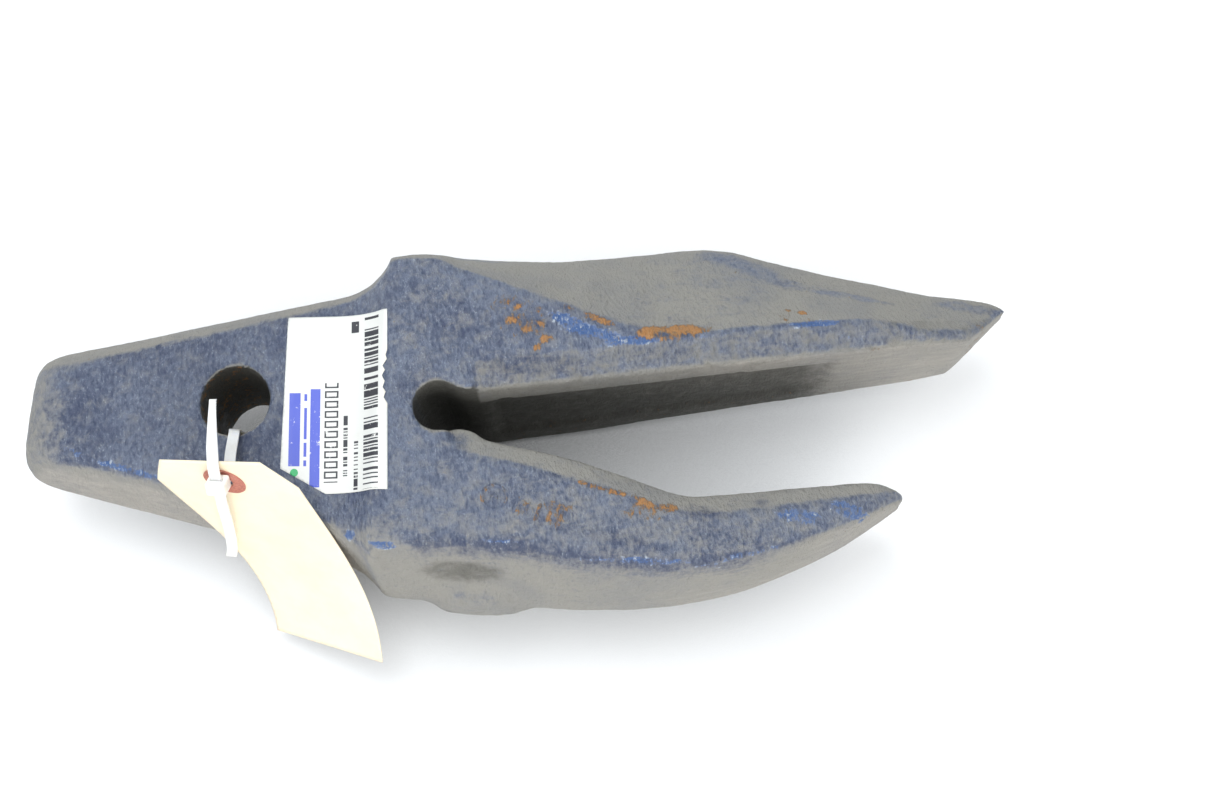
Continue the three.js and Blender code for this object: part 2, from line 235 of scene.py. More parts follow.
def castPaint():
    look = paintFacts
    material, tree, give = shaderTree("castPaint", look["worn"], 0.5)
    place = placeOf(tree)
    combed = placeOf(tree, (1.0, 0.5, 0.6))
    streaked = placeOf(tree, (0.28, 1.0, 1.6))
    clouds = noiseOf(tree, place, 34.0, 4.0, 0.6)
    patches = noiseOf(tree, place, 150.0, 6.0, 0.68, 0.5)
    grain = noiseOf(tree, combed, 640.0, 4.0, 0.62)
    fine = noiseOf(tree, combed, 1700.0, 3.0, 0.6)
    streaks = noiseOf(tree, streaked, 230.0, 5.0, 0.7, 0.3)

    tone = total(tree, times(tree, clouds, 0.35), times(tree, grain, 0.65))
    tone = maths(tree, "SUBTRACT", tone, times(tree, markOf(tree, "fresh"), 0.17))
    paint = blendColour(tree, ease(tree, tone, 0.28, 0.66), look["deep"], look["worn"])
    paint = blendColour(tree, ease(tree, patches, 0.44, 0.74, 0.0, 0.6), paint, look["grey"])
    # painted highlight: pale glint flecks in the base colour stand in for light caught by the orange-peel
    # paint
    glint = times(tree, ease(tree, fine, 0.54, 0.70), ease(tree, grain, 0.46, 0.62, 0.06, 0.42))
    paint = blendColour(tree, glint, paint, look["scratchAndGlint"])

    dustMark = markOf(tree, "dust")
    dusty = total(tree, dustMark, around(tree, patches, 0.9), around(tree, streaks, 0.9),
                  around(tree, grain, 0.6))
    dustShare = ease(tree, dusty, 0.10, 0.85, 0.0, 0.95)
    dustTone = blendColour(tree, ease(tree, clouds, 0.40, 0.70, 0.0, 0.35), look["dust"], look["grey"])
    powdery = total(tree, dustMark, around(tree, streaks, 0.55))
    dustTone = blendColour(tree, ease(tree, powdery, 0.95, 1.35), dustTone, look["powder"])
    paint = blendColour(tree, dustShare, paint, dustTone)

    # real grime and painted shade: the slot, bore, creases, bevel facet and the fillet above the pad are
    # darkened as if in shadow
    grimeAndShadeLevel = total(tree, markOf(tree, "grimeAndShade"), around(tree, patches, 0.8))
    paint = blendColour(tree, ease(tree, grimeAndShadeLevel, 0.2, 0.95, 0.0, 0.88), paint, look["grimeAndShade"])

    chipped = total(tree, markOf(tree, "chip"), around(tree, streaks, 1.6), around(tree, grain, 1.3))
    chipShare = ease(tree, chipped, 0.48, 0.72, 0.0, 0.85)
    chipTone = blendColour(tree, ease(tree, grain, 0.50, 0.64), look["bright"], look["scratchAndGlint"])
    chipTone = blendColour(tree, ease(tree, streaks, 0.50, 0.62, 0.15, 0.9), look["bright"], chipTone)
    paint = blendColour(tree, chipShare, paint, chipTone)

    rusty = total(tree, markOf(tree, "rust"), around(tree, patches, 2.0), around(tree, grain, 1.8))
    rustTone = blendColour(tree, ease(tree, rusty, 0.55, 1.15), look["rustEdge"], look["rust"])
    rustTone = blendColour(tree, ease(tree, fine, 0.45, 0.70, 0.0, 0.6), rustTone, look["rustPale"])
    rustShare = ease(tree, rusty, 0.46, 0.86, 0.0, 0.92)
    paint = blendColour(tree, rustShare, paint, rustTone)
    give("Base Color", paint)

    dull = maths(tree, "MAXIMUM", dustShare, rustShare)
    give("Roughness", ease(tree, dull, 0.0, 1.0, 0.30, 0.78))
    give("Specular IOR Level", 0.6)
    pits = bumpOf(tree, grain, 1.0, 0.0018)
    sand = bumpOf(tree, fine, 0.6, 0.0007, pits)
    flaked = bumpOf(tree, chipShare, 0.5, -0.0003, sand)
    crusted = bumpOf(tree, rustShare, 0.5, 0.0003, flaked)
    give("Normal", crusted)
    return material


labelPrint = {                 # millimetres across (from the shoulder) and up the label
    "band": (31.5, 36.0, -36.0, 8.9),
    "thickLine": (40.5, 45.6, -26.5, 7.1),
    "thinLine": (37.5, 38.8, -26.5, 7.1),
    "bars": (4.0, 11.0, -38.3, 41.3),
    "barStep": 0.62,
    "digits": (23.2, 29.5, -34.0, 11.6),
    "digitStep": 4.6,
    "digitHeight": 3.3,
    "digitHollow": (0.75, 2.55),   # each digit is an empty box
    "hollows": (24.0, 28.7, -50.0, 50.0),
    "smallText": (18.7, 20.7, -32.0, -3.5),
    "tinyText": (13.6, 15.6, -38.0, -16.0),
    "corner": (13.8, 17.4, 34.5, 40.3),
    "spot": (42.9, -29.4, 1.8),
    "blue": (0.075, 0.11, 0.56),
    "ink": (0.035, 0.036, 0.045),
    "green": (0.03, 0.42, 0.14),
    "paper": (0.74, 0.75, 0.725),
    "soil": (0.62, 0.60, 0.54),
    "core": (0.80, 0.78, 0.72),
}


def between(tree, value, low, high):
    above = maths(tree, "GREATER_THAN", value, low)
    return times(tree, above, maths(tree, "LESS_THAN", value, high))


def inBlock(tree, u, v, block):
    across = between(tree, u, block[0], block[1])
    return times(tree, across, between(tree, v, block[2], block[3]))


def dashesAlong(tree, v, step, share, seed):
    cell = maths(tree, "FLOOR", maths(tree, "DIVIDE", maths(tree, "ADD", v, seed), step))
    chance = tree.nodes.new("ShaderNodeTexWhiteNoise")
    chance.noise_dimensions = "1D"
    tree.links.new(cell, chance.inputs["W"])
    return maths(tree, "LESS_THAN", chance.outputs["Value"], share)


def labelPaper():
    look = labelPrint
    material, tree, give = shaderTree("labelPaper", look["paper"], 0.42)
    where = tree.nodes.new("ShaderNodeUVMap")
    where.uv_map = "labelPlace"
    split = tree.nodes.new("ShaderNodeSeparateXYZ")
    tree.links.new(where.outputs["UV"], split.inputs["Vector"])
    u = times(tree, split.outputs["X"], 100.0)
    v = maths(tree, "SUBTRACT", times(tree, split.outputs["Y"], 100.0), 50.0)
    place = placeOf(tree)
    stain = noiseOf(tree, place, 70.0, 5.0, 0.65)
    fleck = noiseOf(tree, place, 900.0, 3.0, 0.7)
    worn = noiseOf(tree, place, 260.0, 4.0, 0.7)

    paper = blendColour(tree, ease(tree, stain, 0.56, 0.80, 0.0, 0.35), look["paper"], look["soil"])
    printed = ease(tree, worn, 0.30, 0.40)
    thickLine = inBlock(tree, u, v, look["thickLine"])
    band = maths(tree, "MAXIMUM", inBlock(tree, u, v, look["band"]), thickLine)
    dashes = dashesAlong(tree, v, 1.6, 0.75, 3.0)
    thinLine = times(tree, inBlock(tree, u, v, look["thinLine"]), dashes)
    band = maths(tree, "MAXIMUM", band, thinLine)
    bars = dashesAlong(tree, v, look["barStep"], 0.5, 9.0)
    ink = times(tree, inBlock(tree, u, v, look["bars"]), bars)
    intoDigit = maths(tree, "MODULO", maths(tree, "ADD", v, 46.0), look["digitStep"])
    onDigit = maths(tree, "LESS_THAN", intoDigit, look["digitHeight"])
    digits = times(tree, inBlock(tree, u, v, look["digits"]), onDigit)
    hollow = between(tree, intoDigit, *look["digitHollow"])
    hollow = times(tree, hollow, inBlock(tree, u, v, look["hollows"]))
    digits = maths(tree, "SUBTRACT", digits, times(tree, digits, hollow))
    for name, step, share in (("smallText", 0.55, 0.62), ("tinyText", 0.5, 0.5), ("corner", 0.9, 0.6)):
        row = times(tree, inBlock(tree, u, v, look[name]), dashesAlong(tree, v, step, share, 5.0))
        digits = maths(tree, "MAXIMUM", digits, row)
    ink = times(tree, maths(tree, "MAXIMUM", ink, digits), printed)
    across = maths(tree, "SUBTRACT", u, look["spot"][0])
    up = maths(tree, "SUBTRACT", v, look["spot"][1])
    away = total(tree, times(tree, across, across), times(tree, up, up))
    spot = maths(tree, "LESS_THAN", away, look["spot"][2] ** 2)

    colour = blendColour(tree, times(tree, band, printed), paper, look["blue"])
    colour = blendColour(tree, ink, colour, look["ink"])
    colour = blendColour(tree, spot, colour, look["green"])
    torn = total(tree, markOf(tree, "torn"), around(tree, worn, 0.9))
    tornShare = ease(tree, torn, 0.55, 0.70)
    colour = blendColour(tree, tornShare, colour, look["core"])
    give("Base Color", colour)
    give("Roughness", ease(tree, tornShare, 0.0, 1.0, 0.40, 0.90))
    crumple = bumpOf(tree, stain, 0.25, 0.0008)
    give("Normal", bumpOf(tree, fleck, 0.12, 0.0002, crumple))
    return material


def tagCard():
    material, tree, give = shaderTree("manilaCard", (0.95, 0.83, 0.64), 0.85)
    where = tree.nodes.new("ShaderNodeUVMap")
    where.uv_map = "cardPlace"
    along = tree.nodes.new("ShaderNodeMapping")
    along.inputs["Scale"].default_value = (2.6, 1.0, 1.0)
    tree.links.new(where.outputs["UV"], along.inputs["Vector"])
    fibres = noiseOf(tree, along.outputs["Vector"], 90.0, 5.0, 0.7, 1.2)
    clouds = noiseOf(tree, where.outputs["UV"], 5.0, 4.0, 0.6)
    specks = noiseOf(tree, where.outputs["UV"], 240.0, 2.0, 0.5)
    colour = blendColour(tree, ease(tree, clouds, 0.3, 0.7), (0.965, 0.850, 0.665), (0.930, 0.800, 0.600))
    colour = blendColour(tree, ease(tree, fibres, 0.5, 0.75, 0.0, 0.35), colour, (0.86, 0.70, 0.50))
    colour = blendColour(tree, ease(tree, specks, 0.70, 0.78, 0.0, 0.5), colour, (0.62, 0.44, 0.27))
    give("Base Color", colour)
    give("Subsurface Weight", 0.08)
    give("Subsurface Scale", 0.001)
    felt = bumpOf(tree, fibres, 0.18, 0.0003)
    give("Normal", felt)
    return material


def patchFibre():
    material, tree, give = shaderTree("redFibre", (0.46, 0.17, 0.125), 0.75)
    place = placeOf(tree)
    weave = noiseOf(tree, placeOf(tree, (1.0, 3.0, 1.0)), 900.0, 4.0, 0.65)
    clouds = noiseOf(tree, place, 240.0, 3.0, 0.6)
    colour = blendColour(tree, ease(tree, weave, 0.35, 0.65), (0.53, 0.205, 0.15), (0.40, 0.14, 0.105))
    colour = blendColour(tree, ease(tree, clouds, 0.5, 0.75, 0.0, 0.5), colour, (0.62, 0.33, 0.26))
    give("Base Color", colour)
    give("Normal", bumpOf(tree, weave, 0.3, 0.0002))
    return material


def tieNylon():
    material, tree, give = shaderTree("naturalNylon", (0.87, 0.87, 0.85), 0.36)
    place = placeOf(tree)
    milk = noiseOf(tree, place, 160.0, 3.0, 0.6)
    scuff = noiseOf(tree, place, 1300.0, 3.0, 0.6)
    colour = blendColour(tree, ease(tree, milk, 0.35, 0.65), (0.89, 0.89, 0.875), (0.84, 0.835, 0.81))
    give("Base Color", colour)
    give("Roughness", ease(tree, scuff, 0.35, 0.7, 0.28, 0.5))
    give("Subsurface Weight", 0.35)
    give("Subsurface Radius", (1.0, 0.85, 0.65))
    give("Subsurface Scale", 0.003)
    give("Normal", bumpOf(tree, scuff, 0.08, 0.0001))
    return material


def tableTop():
    material, tree, give = shaderTree("paleTable", studio["tableColour"], 0.7)
    cloth = noiseOf(tree, placeOf(tree), 9.0, 3.0, 0.5)
    colour = blendColour(tree, ease(tree, cloth, 0.35, 0.65), studio["tableColour"], (0.45, 0.46, 0.47))
    give("Specular IOR Level", 0.2)
    openness = tree.nodes.new("ShaderNodeAmbientOcclusion")     # painted contact shadow: the table darkens under what stands on it
    openness.samples = 3
    openness.inputs["Distance"].default_value = 0.10
    colour = blendColour(tree, ease(tree, openness.outputs["AO"], 0.12, 0.45), (0.05, 0.05, 0.05), colour)
    give("Base Color", colour)
    # painted light: the table glows so its shadows stay pale, and glows less where something stands over
    # it
    give("Emission Color", (*studio["skyColour"], 1.0))
    glow = ease(tree, openness.outputs["AO"], 0.10, 0.55, 0.0, studio["tableGlow"])
    give("Emission Strength", glow)
    return material


def pieceOf(name, points, faces, material, smooth=True):
    data = bpy.data.meshes.new(name)
    data.from_pydata([tuple(p) for p in points], [], faces)
    data.validate()
    if material is not None:
        data.materials.append(material)
    data.polygons.foreach_set("use_smooth", [smooth] * len(data.polygons))
    data.update()
    return addObject(name, data)


def builtMesh(piece):                        # the mesh that the modifiers make
    bpy.context.view_layer.update()
    depsgraph = bpy.context.evaluated_depsgraph_get()
    return bpy.data.meshes.new_from_object(piece.evaluated_get(depsgraph), depsgraph=depsgraph)


def bakeModifiers(piece):
    made = builtMesh(piece)
    made.name = piece.name
    piece.modifiers.clear()
    piece.data = made


def faceOutwards(piece):
    work = bmesh.new()
    work.from_mesh(piece.data)
    bmesh.ops.remove_doubles(work, verts=work.verts, dist=1e-6)
    bmesh.ops.recalc_face_normals(work, faces=work.faces)
    work.to_mesh(piece.data)
    work.free()
    piece.data.update()


def keepMark(data, name, values):
    layer = data.attributes.new(name, "FLOAT", "POINT")
    layer.data.foreach_set("value", np.asarray(values, np.float32))


def readAll(items, name, kind, width):
    values = np.empty(len(items) * width, kind)
    items.foreach_get(name, values)
    return values.reshape(-1, width)


def strongest(*layers):
    return np.maximum.reduce(layers)


def fullTurn(count):
    return [2 * math.pi * k / count for k in range(count)]


def smoothStep(values, low, high):
    share = np.clip((values - low) / (high - low), 0.0, 1.0)
    return share * share * (3.0 - 2.0 * share)


def smoothPath(points, steps):               # centripetal curve through the points, evenly stepped
    whole = [Vector(p) for p in points]
    whole = [2 * whole[0] - whole[1], *whole, 2 * whole[-1] - whole[-2]]
    dense = []
    for i in range(1, len(whole) - 2):
        p = whole[i - 1:i + 3]
        times = [0.0]
        for a, b in zip(p, p[1:]):
            times.append(times[-1] + max((b - a).length, 1e-9) ** 0.5)
        for k in range(24):
            t = times[1] + (times[2] - times[1]) * k / 24
            row = [p[j].lerp(p[j + 1], (t - times[j]) / (times[j + 1] - times[j])) for j in range(3)]
            row = [row[j].lerp(row[j + 1], (t - times[j]) / (times[j + 2] - times[j])) for j in range(2)]
            dense.append(row[0].lerp(row[1], (t - times[1]) / (times[2] - times[1])))
    dense.append(whole[-2])
    lengths = np.concatenate([[0.0], np.cumsum([(b - a).length for a, b in zip(dense, dense[1:])])])
    spots = np.linspace(0.0, lengths[-1], steps + 1)
    columns = [np.interp(spots, lengths, [p[axis] for p in dense]) for axis in range(3)]
    return [Vector(p) for p in zip(*columns)]


castingFacts = {
    "voxel": 0.0016,
    "rounding": 4,             # smoothing passes everywhere
    "softRounding": 34,        # further passes where the casting is rounder
    "noseShare": 0.22,         # how much of those the nose takes
    "sway": 0.00042,           # slow unevenness of the sand mould
    "grain": 0.00016,
    "pitDepth": 0.0006,
    "strokeDepth": 0.0004,     # grinding strokes on the feeder pad
    "seamHeight": 0.00045,     # parting line round the outside, at mid height
    "seamWidth": 0.0011,
}

# Marks on the upper side, in millimetres: x, y, half length, half width, turn in degrees, strength
rustMarks = [
    (52.4, 63, 3.0, 1.8, 20, 0.85), (56, 60.5, 2.2, 1.6, 0, 0.9), (65, 57.5, 2.2, 1.5, 30, 0.85),
    (78, 57, 3.6, 2.0, -20, 0.85), (53, 54.5, 4.0, 2.6, 10, 0.8), (58, 49, 4.4, 3.0, 40, 0.75),
    (64, 51, 2.4, 1.8, 0, 0.9), (62, 40, 2.4, 1.8, 0, 0.95), (66, 43.5, 3.0, 2.2, 0, 0.85),
    (56, 56, 22, 12, -35, 0.40), (91, 50, 9, 2.6, -26, 0.78), (113, 42.5, 8, 3.8, 8, 1.0),
    (127, 42.5, 15, 4.2, -4, 1.0), (121, 39.5, 18, 3.6, -4, 0.72), (120, 40, 26, 5, -4, 0.36),
    (177, 48.5, 2.2, 1.6, 0, 0.9), (183.5, 46, 2.6, 1.8, -30, 0.9), (176, 43, 16, 3, -18, 0.36),
    (214.6, 24.5, 3.6, 2.6, 0, 0.6), (78, -24.5, 9, 1.7, -24, 0.85), (88, -28.5, 8, 1.8, -26, 0.8),
    (98, -34, 8, 2.8, -28, 0.8), (109, -37.5, 7, 2.4, -14, 0.8), (96, -38, 12, 5, -25, 0.45),
    (47, -31, 7, 4, -30, 0.50), (62, -32, 8, 3.4, -20, 0.66), (61, -38, 4, 3, 0, 0.62)]
chipMarks = [
    (79, 50, 14, 3.6, -30, 0.74), (88, 44, 18, 4.4, -20, 0.76), (104, 39.5, 15, 3.0, -6, 0.74),
    (150, 39.4, 20, 1.6, -2, 0.42), (188, 38.6, 17, 2.4, -3, 0.76), (205, 31, 16, 2, -12, 0.40),
    (110, 37.8, 74, 0.8, -1, 0.52), (166, -47, 13, 5, -10, 0.66), (190, -46.5, 13, 5, -25, 0.70),
    (40, -44, 18, 1.4, -10, 0.60), (100, -60, 44, 2.0, -9, 0.52), (140, -61, 25, 2.0, 6, 0.55),
    (-125, 15, 24, 2.2, -24, 0.66), (-28, -30, 4, 2.2, -20, 0.85), (-14, -38, 8, 2.2, -12, 0.80),
    (-150, 27, 8, 2.4, -26, 0.60), (-60, 84, 60, 1.4, 9, 0.25), (20, 88, 30, 1.6, -4, 0.35)]
bareMarks = [                                # blue showing through the dust of the far flank
    (160, 82, 20, 6, -26, 0.55), (176, 70, 14, 5, -28, 0.45), (208, 56, 22, 3, -20, 0.55),
    (262, 46, 16, 4, -12, 0.50), (30, 99, 30, 4, -6, 0.40), (190, 63, 16, 4, -26, 0.30)]
freshMarks = [                               # where the dark paint is nearly clean
    (122, -40, 9, 3.5, -20, 0.9), (150, -39, 7, 2.5, 5, 0.8), (60, 33, 26, 5, -6, 0.7),
    (85, -48, 30, 3, -20, 0.6), (150, -62, 40, 3.5, 12, 0.6), (8, 30, 12, 9, 20, 0.5),
    (115, 33, 26, 3, -5, 0.4), (-20, -12, 14, 12, 0, 0.45), (-120, 40, 50, 18, -9, 0.30),
    (25, 62, 26, 12, -40, 0.35)]
# Along the short strap: the foot of its weld bevel, and its near lower edge
shortBevelFoot = [(22, -2.5), (32, -6), (46, -11), (65, -19), (89, -29), (110, -39), (125, -43.5),
                  (189, -41), (219, -38.5)]
shortFoot = [(-9, -39), (20, -42.8), (46, -49), (65, -55), (89, -60.5), (110, -63.5), (125, -64.5),
             (141, -64), (156, -61.5), (176, -57), (189, -53), (203, -48), (219, -41)]
boreCentre = (-75.0, 39.1)
boreRadius = 15.8


def ellipseMark(xy, mark):
    x, y, half, wide, turn, strength = mark
    angle = math.radians(turn)
    along = (xy[:, 0] - x) * math.cos(angle) + (xy[:, 1] - y) * math.sin(angle)
    aside = (xy[:, 1] - y) * math.cos(angle) - (xy[:, 0] - x) * math.sin(angle)
    away = np.sqrt((along / half) ** 2 + (aside / wide) ** 2)
    return strength * (1.0 - smoothStep(away, 0.45, 1.25))


def markedBy(xy, marks):
    return strongest(*(ellipseMark(xy, mark) for mark in marks))


def neighbourMean(field, ends, count):
    total = np.zeros_like(field)
    for axis in range(field.shape[1]):
        total[:, axis] += np.bincount(ends[:, 0], field[ends[:, 1], axis], len(field))
        total[:, axis] += np.bincount(ends[:, 1], field[ends[:, 0], axis], len(field))
    return total / count[:, None]


def roughCasting():                          # the plain solid, remeshed to an even skin
    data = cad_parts["adapter_casting"].data.copy()
    piece = addObject("castBody", data)
    work = bmesh.new()
    work.from_mesh(data)
    bmesh.ops.remove_doubles(work, verts=work.verts, dist=1e-6)
    work.to_mesh(data)
    work.free()
    skin = piece.modifiers.new("skin", "REMESH")
    skin.mode = "VOXEL"
    skin.voxel_size = castingFacts["voxel"]
    bakeModifiers(piece)
    return piece


def softenCorners(data):
    places = readAll(data.vertices, "co", float, 3)
    ends = readAll(data.edges, "vertices", np.int64, 2)
    degree = np.bincount(ends.ravel(), minlength=len(places)).astype(float)
    x, y = places[:, 0] / mm, places[:, 1] / mm
    z = (places[:, 2] - midHeight) / mm
    onNose = 1.0 - smoothStep(x, -30, -6)
    onNose *= smoothStep(np.hypot(x - boreCentre[0], y - boreCentre[1]), boreRadius + 1.7, boreRadius + 9)
    nearEdge = 1.0 - smoothStep(np.abs(y - np.interp(x, *zip(*shortFoot)) - 1.0), 5, 12)
    nearEdge *= smoothStep(x, -14, 0) * (1.0 - 0.6 * smoothStep(x, 150, 200))
    onPad = 1.0 - smoothStep(np.hypot((x - 20) / 36, z / 32), 0.75, 1.1)
    soft = strongest(castingFacts["noseShare"] * onNose, nearEdge, onPad * smoothStep(-y, 44, 54))
    for turn in range(castingFacts["rounding"] + castingFacts["softRounding"]):
        share = 0.5 if turn < castingFacts["rounding"] else 0.5 * soft[:, None]
        places += share * (neighbourMean(places, ends, degree) - places)
    data.vertices.foreach_set("co", places.ravel())
    data.update()
    return places, ends, degree


def edgeSharpness(places, normals, ends, degree):
    pull = ((places - neighbourMean(places, ends, degree)) * normals).sum(axis=1, keepdims=True)
    for _ in range(3):
        pull = 0.5 * pull + 0.5 * neighbourMean(pull, ends, degree)
    return pull[:, 0] / castingFacts["voxel"]


def surfaceRelief(places, normals, underLabel):
    facts = castingFacts
    relief = np.empty(len(places))
    for i, place in enumerate(places):
        spot = Vector(place)
        slow = noise.fractal(spot * 26.0, 1.0, 2.0, 2)
        sandy = noise.fractal(spot * 310.0, 0.8, 2.1, 3)
        pit = noise.noise(spot * 95.0 + Vector((7.3, 1.1, 4.7)))
        relief[i] = facts["sway"] * slow + facts["grain"] * sandy
        relief[i] -= facts["pitDepth"] * max(0.0, pit - 0.52) / 0.3
    fromMid = np.abs(places[:, 2] - midHeight - 0.0006 * np.sin(places[:, 0] * 60.0))
    outside = np.abs(normals[:, 2]) < 0.6
    boreWay = np.hypot(places[:, 0] - boreCentre[0] * mm, places[:, 1] - boreCentre[1] * mm)
    inSlot = (places[:, 0] > 0.0) & (places[:, 1] > -0.036) & (places[:, 1] < 0.034)
    outside &= (boreWay > 0.017) & ~inSlot
    seam = 1.0 - smoothStep(fromMid, 0.3 * facts["seamWidth"], 1.6 * facts["seamWidth"])
    relief += np.where(outside, facts["seamHeight"] * seam, 0.0)
    return relief * (1.0 - 0.8 * underLabel)


def groundPad(places, normals):              # grinding left by cutting the feeder off
    near = np.hypot((places[:, 0] - 0.026) / 0.026, (places[:, 2] - midHeight) / 0.024)
    onPad = (1.0 - smoothStep(near, 0.7, 1.1)) * (places[:, 1] < -0.055) * (normals[:, 1] < -0.4)
    strokes = [noise.noise(Vector((x * 160.0 + z * 60.0, 3.0, z * 900.0))) for x, _, z in places]
    return onPad, onPad * np.array(strokes) * castingFacts["strokeDepth"]


def markCasting(data, places, normals, sharpness, onPad):
    xy = np.column_stack([places[:, 0], places[:, 1]]) / mm
    x, y = xy[:, 0], xy[:, 1]
    z = (places[:, 2] - midHeight) / mm
    upward = smoothStep(normals[:, 2], 0.25, 0.6)
    facingUp = upward * (z > 0)
    facingAway = smoothStep(normals[:, 1], 0.25, 0.65)
    facingNear = smoothStep(-normals[:, 1], 0.25, 0.80)

    nearFace = 0.88 + 0.26 * smoothStep(-x, 10, 40) + 0.22 * smoothStep(x, 60, 150)
    bevel = smoothStep(y, 23.5, 25.5) * (1.0 - smoothStep(y, 37.0, 39.0)) * smoothStep(x, 31, 35) * upward
    foot = np.interp(x, *zip(*shortBevelFoot))
    lowerBevel = smoothStep(y - foot, -0.5, 2.5) * smoothStep(x, 20, 30) * (y < 18) * upward
    shoulder = smoothStep(-y, 22, 34) * (1.0 - smoothStep(x, -16, 14)) * (x > -45) * upward
    dust = strongest(
        0.06 + 0.12 * smoothStep(x, -40, 20) + 0.16 * smoothStep(-y, 5, 40),
        (0.95 - markedBy(xy, bareMarks)) * facingAway,
        nearFace * facingNear,
        0.40 * bevel,
        0.85 * lowerBevel,
        0.62 * smoothStep(-x, 140, 172),          # tip of the nose
        0.55 * (1.0 - upward) * (x < -10),
        0.62 * shoulder)

    # This dark mark holds real grime on the seat and the ground pad, and painted shade where shadow
    # falls: the seat and throat inside the slot, the bore's wall, concave creases, the fillet above the
    # pad and the weld bevel facet
    seat = (y > 20) * (y < 29) * smoothStep(x, 24, 30) * smoothStep(-normals[:, 1], 0.45, 0.95)
    inPocket = smoothStep(np.interp(x, [38, 196], [29, 20.5]) - z, 0.0, 2.0)
    inPocket *= smoothStep(x, 20, 30) * (1.0 - smoothStep(x, 176, 204))
    seat = seat * (0.35 + 0.47 * inPocket) * (1.0 - 0.7 * smoothStep(x, 190, 215))
    throat = (x > 2) * (x < 34) * (y > 6) * (y < 34) * smoothStep(-np.abs(normals[:, 2]), -0.7, -0.3)
    boreWay = np.hypot(x - boreCentre[0], y - boreCentre[1])
    inBore = (boreWay < boreRadius + 0.8) * (np.abs(normals[:, 2]) < 0.6)
    hollow = smoothStep(-sharpness, 0.03, 0.12)
    abovePad = 1.0 - smoothStep(np.hypot((x - 18) / 26.0, (z - 30) / 12.0), 0.4, 1.1)
    grimeAndShade = strongest(seat, 0.9 * throat, 1.0 * inBore, 0.45 * hollow, 0.36 * bevel,
                      0.62 * abovePad * facingNear * (y < -40), 0.25 * onPad)

    rust = strongest(markedBy(xy, rustMarks) * facingUp, 0.42 * inBore * (x < boreCentre[0] + 4),
                     0.36 * (x > 262) * (y < 34), 0.22 * (z < -20))
    chip = markedBy(xy, chipMarks) * smoothStep(normals[:, 2], 0.1, 0.4) * (z > 0)
    chip = strongest(chip, 0.30 * smoothStep(sharpness, 0.05, 0.16))
    foot = np.interp(x, *zip(*shortFoot))
    edgeBand = np.exp(-((y - foot - 0.5) / 4.6) ** 2) * (z > 5)
    edgeBand *= smoothStep(x, -8, 4) * (1.0 - smoothStep(x, 130, 190))
    fresh = strongest(0.34 * smoothStep(-x, 10, 40) * upward, markedBy(xy, freshMarks) * facingUp,
                      0.95 * edgeBand)
    dust = dust * (1.0 - 0.75 * np.clip(fresh - 0.4, 0.0, 1.0)) * (1.0 - 0.35 * edgeBand)

    marks = {"dust": dust, "grimeAndShade": grimeAndShade, "rust": rust, "chip": chip, "fresh": fresh}
    for name, values in marks.items():
        keepMark(data, name, values)


def makeCasting(material):
    piece = roughCasting()
    data = piece.data
    places, ends, degree = softenCorners(data)
    normals = readAll(data.vertices, "normal", float, 3)
    sharpness = edgeSharpness(places, normals, ends, degree)
    faces = [tuple(face.vertices) for face in data.polygons]
    plainSkin = BVHTree.FromPolygons([Vector(p) for p in places], faces)
    labelMiddle = labelPoint(24.0, 2.0, 0.0)
    under = np.hypot((places[:, 0] - labelMiddle.x) / 0.030, (places[:, 1] - labelMiddle.y) / 0.050)
    underLabel = (1.0 - smoothStep(under, 0.8, 1.15)) * (places[:, 2] > midHeight + 0.03)
    onPad, strokes = groundPad(places, normals)
    relief = surfaceRelief(places, normals, underLabel) + strokes
    skin = places + normals * relief[:, None]
    skin[:, 2] = np.maximum(skin[:, 2], 0.0)            # it rests on the table
    data.vertices.foreach_set("co", skin.ravel())
    markCasting(data, places, normals, sharpness, onPad)
    data.materials.clear()
    data.materials.append(material)
    data.polygons.foreach_set("material_index", [0] * len(data.polygons))
    data.polygons.foreach_set("use_smooth", [True] * len(data.polygons))
    data.update()
    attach(piece, "casting")
    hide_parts("adapter_casting")
    print("casting:", len(data.polygons), "faces")
    return plainSkin


mouldMark = {
    "centre": (36.0, -24.5),
    "turn": -27.0,              # degrees, along the strap
    "ringRadius": 5.2,
    "dotRadius": 0.9,
    "stroke": 0.95,             # half width of a raised line
    "raised": 0.9,
    "sunk": 0.4,                # how far the lines reach below the skin
    "bars": 5,
    "barStep": 5.0,
    "barHalf": 4.2,
}


def raisedLine(skin, points, closed, madePoints, faces):
    facts = mouldMark
    ringSides = 9
    start = len(madePoints)
    count = len(points)
    for i, (x, y) in enumerate(points):
        before = points[i - 1] if closed or i > 0 else points[i]
        after = points[(i + 1) % count] if closed or i + 1 < count else points[i]
        way = Vector((after[0] - before[0], after[1] - before[1], 0.0)).normalized()
        aside = Vector((-way.y, way.x, 0.0))
        hit = skin.ray_cast(Vector((x * mm, y * mm, 0.2)), Vector((0, 0, -1)))
        narrow = 0.45 if not closed and i in (0, count - 1) else 1.0
        for side in range(ringSides):
            angle = math.pi * side / (ringSides - 1)
            out = aside * (math.cos(angle) * facts["stroke"] * narrow * mm)
            lift = math.sin(angle) * facts["raised"] * narrow * mm - facts["sunk"] * mm
            madePoints.append(hit[0] + out + Vector((0, 0, lift)))
    spans = count if closed else count - 1
    for i in range(spans):
        a = start + i * ringSides
        b = start + ((i + 1) % count) * ringSides
        for side in range(ringSides):
            after = (side + 1) % ringSides
            faces.append((a + side, a + after, b + after, b + side))
    if not closed:
        faces.append(tuple(start + side for side in range(ringSides)))
        faces.append(tuple(start + (count - 1) * ringSides + side for side in range(ringSides)))


